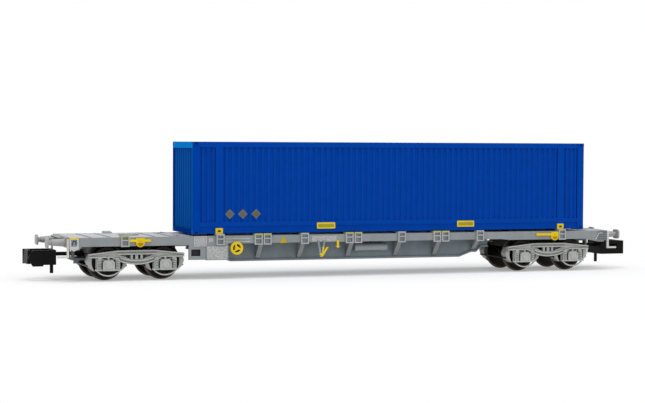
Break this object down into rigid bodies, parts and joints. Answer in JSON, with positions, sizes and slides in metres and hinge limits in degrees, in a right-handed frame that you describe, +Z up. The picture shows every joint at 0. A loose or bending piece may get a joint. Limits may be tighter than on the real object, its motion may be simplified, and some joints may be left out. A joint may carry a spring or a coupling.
{
  "type": "model container flatcar",
  "caption": "Model container flatcar: fish-belly frame on two swivelling bogies with free wheelsets, swinging couplings and a lift-off ribbed box container.",
  "frame": {"origin": "on the standing surface under the wheel flanges, midway between the two bogies", "axes": "+X along the wagon towards the end where the container stands, +Y across it, +Z up"},
  "size_m": [0.1296, 0.018, 0.027],
  "materials": {
    "axle_steel": "turned steel",
    "black_plastic": "satin black moulding",
    "bogie_grey": "matt light grey moulding",
    "container_blue": "satin blue moulding",
    "dark_plastic": "dark grey moulding",
    "frame_grey": "matt light grey moulding",
    "girder_grey": "matt mid grey moulding",
    "screw_steel": "turned steel",
    "signal_yellow": "matt yellow",
    "wheel_metal": "dark burnished metal"
  },
  "bodies": {
    "underframe": {"air_reservoir": "girder_grey", "belly_girder_far": "girder_grey", "belly_girder_near": "girder_grey", "bolster_left": "frame_grey", "bolster_right": "frame_grey", "brake_cylinder": "girder_grey", "brake_levers_far": "signal_yellow", "brake_levers_near": "signal_yellow", "buffers_left": "frame_grey", "buffers_right": "frame_grey", "container_spigots": "frame_grey", "corner_bars_left": "frame_grey", "corner_bars_right": "frame_grey", "cross_bearers": "girder_grey", "deck_grips_left": "frame_grey", "deck_grips_right": "frame_grey", "end_deck_left": "frame_grey", "end_deck_right": "frame_grey", "handwheel_far": "signal_yellow", "handwheel_near": "signal_yellow", "headstock_left": "frame_grey", "headstock_right": "frame_grey", "outriggers_far": "frame_grey", "outriggers_near": "frame_grey", "pivot_screw_left": "screw_steel", "pivot_screw_right": "screw_steel", "side_panel_far": "frame_grey", "side_panel_near": "frame_grey", "side_sill_far": "frame_grey", "side_sill_near": "frame_grey", "spigot_brackets_far": "frame_grey", "spigot_brackets_near": "frame_grey"},
    "wheelset_1": {"axle_1": "axle_steel", "wheels_1": "wheel_metal"},
    "wheelset_2": {"axle_2": "axle_steel", "wheels_2": "wheel_metal"},
    "wheelset_3": {"axle_3": "axle_steel", "wheels_3": "wheel_metal"},
    "wheelset_4": {"axle_4": "axle_steel", "wheels_4": "wheel_metal"},
    "bogie_left": {"bogie_left_brakes": "bogie_grey", "bogie_left_frame": "dark_plastic", "bogie_left_side_far": "bogie_grey", "bogie_left_side_near": "bogie_grey"},
    "bogie_right": {"bogie_right_brakes": "bogie_grey", "bogie_right_frame": "dark_plastic", "bogie_right_side_far": "bogie_grey", "bogie_right_side_near": "bogie_grey"},
    "container": {"container_corner_castings": "container_blue", "container_door_frame": "container_blue", "container_doors": "container_blue", "container_fittings": "signal_yellow", "container_floor": "container_blue", "container_front_wall": "container_blue", "container_lock_rods": "container_blue", "container_roof": "container_blue", "container_side_far": "container_blue", "container_side_near": "container_blue"},
    "coupling_left": {"coupling_left": "black_plastic"},
    "coupling_right": {"coupling_right": "black_plastic"}
  },
  "joints": [
    {"name": "bogie_left_swivel", "type": "hinge", "parent": "underframe", "child": "bogie_left", "pos_m": [-0.04437, 0, 0.0068], "axis": [0, 0, 1], "range_deg": [-12, 12]},
    {"name": "coupling_left_swing", "type": "hinge", "parent": "bogie_left", "child": "coupling_left", "pos_m": [-0.05427, 0, 0.00505], "axis": [0, 0, 1], "range_deg": [-8, 8], "stiffness_Nm_per_rad": 0.0004},
    {"name": "bogie_right_swivel", "type": "hinge", "parent": "underframe", "child": "bogie_right", "pos_m": [0.04437, 0, 0.0068], "axis": [0, 0, 1], "range_deg": [-12, 12]},
    {"name": "coupling_right_swing", "type": "hinge", "parent": "bogie_right", "child": "coupling_right", "pos_m": [0.05427, 0, 0.00505], "axis": [0, 0, 1], "range_deg": [-8, 8], "stiffness_Nm_per_rad": 0.0004},
    {"name": "wheelset_1_turn", "type": "hinge", "parent": "bogie_left", "child": "wheelset_1", "pos_m": [-0.05, 0, 0.00369], "axis": [0, 1, 0], "continuous": true},
    {"name": "wheelset_2_turn", "type": "hinge", "parent": "bogie_left", "child": "wheelset_2", "pos_m": [-0.03875, 0, 0.00369], "axis": [0, 1, 0], "continuous": true},
    {"name": "wheelset_3_turn", "type": "hinge", "parent": "bogie_right", "child": "wheelset_3", "pos_m": [0.03875, 0, 0.00369], "axis": [0, 1, 0], "continuous": true},
    {"name": "wheelset_4_turn", "type": "hinge", "parent": "bogie_right", "child": "wheelset_4", "pos_m": [0.05, 0, 0.00369], "axis": [0, 1, 0], "continuous": true},
    {"name": "container_lift", "type": "slide", "parent": "underframe", "child": "container", "axis": [0, 0, 1], "range_m": [0, 0.02]}
  ]
}
